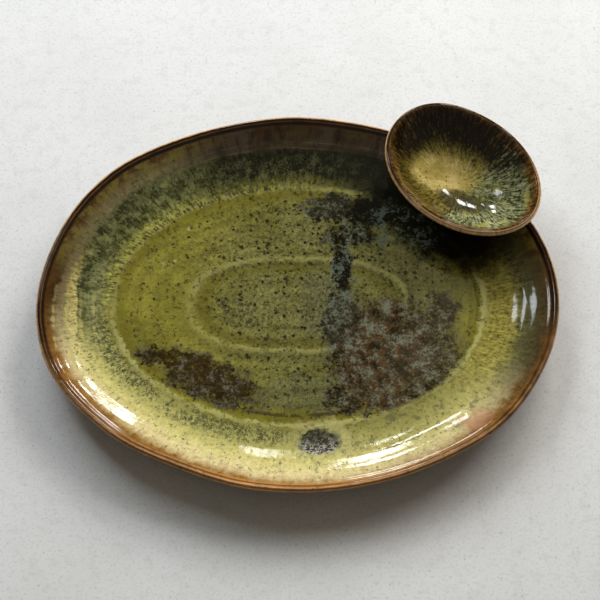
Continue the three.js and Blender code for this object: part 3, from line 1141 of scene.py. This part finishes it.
def table_top():
    material, shader, at = start_material("pale_table")
    cloud = blotch(at, 70, 5, 0.6)
    mottle = blotch(at, 9, 5, 0.65)
    grain = blotch(at, 1.8, 4, 0.65)
    colour = lay(ease(cloud, 0.3, 0.7), (0.81, 0.81, 0.795), (0.86, 0.86, 0.85))
    colour = lay(ease(mottle, 0.50, 0.66) * 0.5, colour, (0.72, 0.72, 0.70))
    colour = lay(ease(grain, 0.50, 0.66) * 0.5, colour, (0.60, 0.60, 0.58))
    dots = both(specks(at, 11.0, 0.045), specks(at, 4.0, 0.07) * ease(cloud, 0.50, 0.60))
    colour = lay(dots * 0.4, colour, (0.30, 0.30, 0.28))
    height = (grain - 0.5) * 0.03
    wire(shader, colour, 0.6 + grain * 0.2, height)
    return material


platter = make_platter()
bowl = make_bowl()
cut_notch(platter, bowl)
foot_ring = make_foot_ring()
inner_seat = make_inner_seat()
outer_seat = make_outer_seat()

for piece, node in (
    (platter, "platter_body"),
    (bowl, "dip_bowl"),
    (foot_ring, "platter_foot_ring"),
    (inner_seat, "bowl_seat_inner"),
    (outer_seat, "bowl_seat_outer"),
):
    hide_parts(node)
    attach(piece, "root")

dark_glaze = seat_glaze()
for piece, slot, material in (
    (platter, "platter_glaze", platter_glaze()),
    (bowl, "bowl_glaze", bowl_glaze()),
    (foot_ring, "bare_clay", bare_clay()),
    (inner_seat, "seat_glaze", dark_glaze),
    (outer_seat, "seat_glaze", dark_glaze),
):
    piece.data.materials.clear()
    piece.data.materials.append(material)


# Stage

def make_floor():
    deselect()
    bpy.ops.mesh.primitive_plane_add(size=TABLE_SIZE * MM, location=(0, 0, 0))
    floor = bpy.context.object
    floor.name = "stage_floor"
    return floor


def make_camera():
    data = bpy.data.cameras.new("camera")
    data.sensor_width = SENSOR_WIDTH
    data.lens = SENSOR_WIDTH * FOCAL_PIXELS / IMAGE_SIZE
    camera = bpy.data.objects.new("camera", data)
    bpy.context.collection.objects.link(camera)
    camera.location = (
        CAMERA_TARGET[0] * MM,
        (CAMERA_TARGET[1] - CAMERA_DISTANCE * math.cos(CAMERA_ELEVATION)) * MM,
        (CAMERA_TARGET[2] + CAMERA_DISTANCE * math.sin(CAMERA_ELEVATION)) * MM,
    )
    camera.rotation_euler = (math.pi / 2 - CAMERA_ELEVATION, 0, 0)
    bpy.context.scene.camera = camera


def make_lamp(name, azimuth, elevation, width, height, brightness, colour):
    """A flat lamp that faces the platter, its place and its size in degrees as the platter sees them."""
    distance = LAMP_DISTANCE * MM
    turn = math.radians(azimuth)
    lift = math.radians(elevation)
    data = bpy.data.lights.new(name, "AREA")
    data.shape = "RECTANGLE"
    data.size = 2 * distance * math.tan(math.radians(width) / 2)
    data.size_y = 2 * distance * math.tan(math.radians(height) / 2)
    data.energy = brightness * math.pi * data.size * data.size_y
    data.color = colour
    lamp = bpy.data.objects.new(name, data)
    bpy.context.collection.objects.link(lamp)
    lamp.location = (
        distance * math.sin(turn) * math.cos(lift),
        distance * math.cos(turn) * math.cos(lift),
        distance * math.sin(lift),
    )
    lamp.rotation_euler = (math.pi / 2 - lift, 0, math.pi - turn)
    lamp.visible_camera = False
    return lamp


def make_room():
    """Soft light that the glaze doesn't mirror, window panes that it does, and a dim room."""
    warm = (1.0, 0.985, 0.96)
    cool = (0.86, 0.93, 1.0)
    amber = (1.0, 0.87, 0.55)
    make_lamp("soft_right", 34, 33, 40, 26, 7.2, warm).visible_glossy = False
    make_lamp("soft_left", -28, 35, 30, 24, 7.2, cool).visible_glossy = False
    make_lamp("pane_right_1", 13.5, 31, 4, 7, 20.0, warm)
    make_lamp("pane_right_2", 19.5, 30, 3.5, 7, 20.0, warm)
    make_lamp("pane_right_3", 28, 34, 3, 5, 20.0, warm)
    make_lamp("pane_middle", 1.9, 38.5, 1.2, 4, 20.0, warm)
    make_lamp("pane_left", -8.0, 36.5, 5, 4, 20.0, warm)
    make_lamp("pane_low", -5.2, 27, 4, 6, 20.0, warm)
    make_lamp("pane_far_left", -40, 51, 9, 7, 9.0, cool)
    make_lamp("pale_curtain", 22, 62.5, 8, 16, 0.5, amber)
    world = bpy.data.worlds.new("room")
    bpy.context.scene.world = world
    world.use_nodes = True
    background = world.node_tree.nodes["Background"]
    paint = Shade(world.node_tree, None)
    way = paint.node("ShaderNodeTexCoord", {}, {}, "Generated")
    seen = paint.node("ShaderNodeLightPath", {}, {}, "Is Camera Ray")
    room_glow = 0.13
    dimmer_behind = 0.07
    backdrop = 0.85
    glow = room_glow - dimmer_behind * ease(parts_of(way)[1], 0.05, 0.45)
    strength = glow + seen * (backdrop - glow)
    world.node_tree.links.new(strength.socket, background.inputs["Strength"])
    background.inputs["Color"].default_value = (1.0, 0.89, 0.72, 1.0)


make_floor().data.materials.append(table_top())
make_camera()
make_room()

bpy.context.scene.view_settings.view_transform = "Standard"
